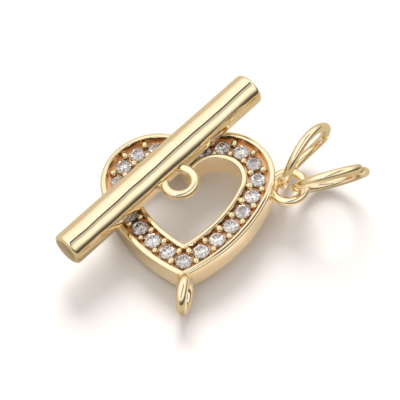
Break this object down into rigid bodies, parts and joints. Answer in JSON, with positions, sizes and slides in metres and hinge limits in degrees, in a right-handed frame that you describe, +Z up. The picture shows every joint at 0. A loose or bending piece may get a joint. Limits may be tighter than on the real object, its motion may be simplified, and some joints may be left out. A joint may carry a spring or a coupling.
{
  "type": "toggle clasp",
  "caption": "Heart-shaped toggle clasp set with clear round stones, with its bar lying across the heart and jump rings on its side loop.",
  "frame": {"origin": "on the surface the clasp lies on, under the middle of the heart (halfway between its lobes' centres)", "axes": "+Z up from the surface, +Y towards the heart's cleft, +X towards the side loop and jump rings"},
  "size_m": [0.0217, 0.0181, 0.0059],
  "materials": {
    "gold_plate": "pale gold plate on brass, polished",
    "stone": "clear colourless cubic zirconia, facet cut"
  },
  "bodies": {
    "heart": {"heart_ring": "gold_plate", "stone_01": "stone", "stone_02": "stone", "stone_03": "stone", "stone_04": "stone", "stone_05": "stone", "stone_06": "stone", "stone_07": "stone", "stone_08": "stone", "stone_09": "stone", "stone_10": "stone", "stone_11": "stone", "stone_12": "stone", "stone_13": "stone", "stone_14": "stone", "stone_15": "stone", "stone_16": "stone", "stone_17": "stone", "stone_18": "stone", "stone_19": "stone", "stone_20": "stone", "stone_21": "stone", "stone_22": "stone", "jump_ring_upper": "gold_plate", "jump_ring_lower": "gold_plate"},
    "bar": {"toggle_bar": "gold_plate"}
  },
  "joints": [
    {"name": "bar_lift", "type": "slide", "parent": "heart", "child": "bar", "axis": [0, 0, 1], "range_m": [0, 0.015]}
  ]
}
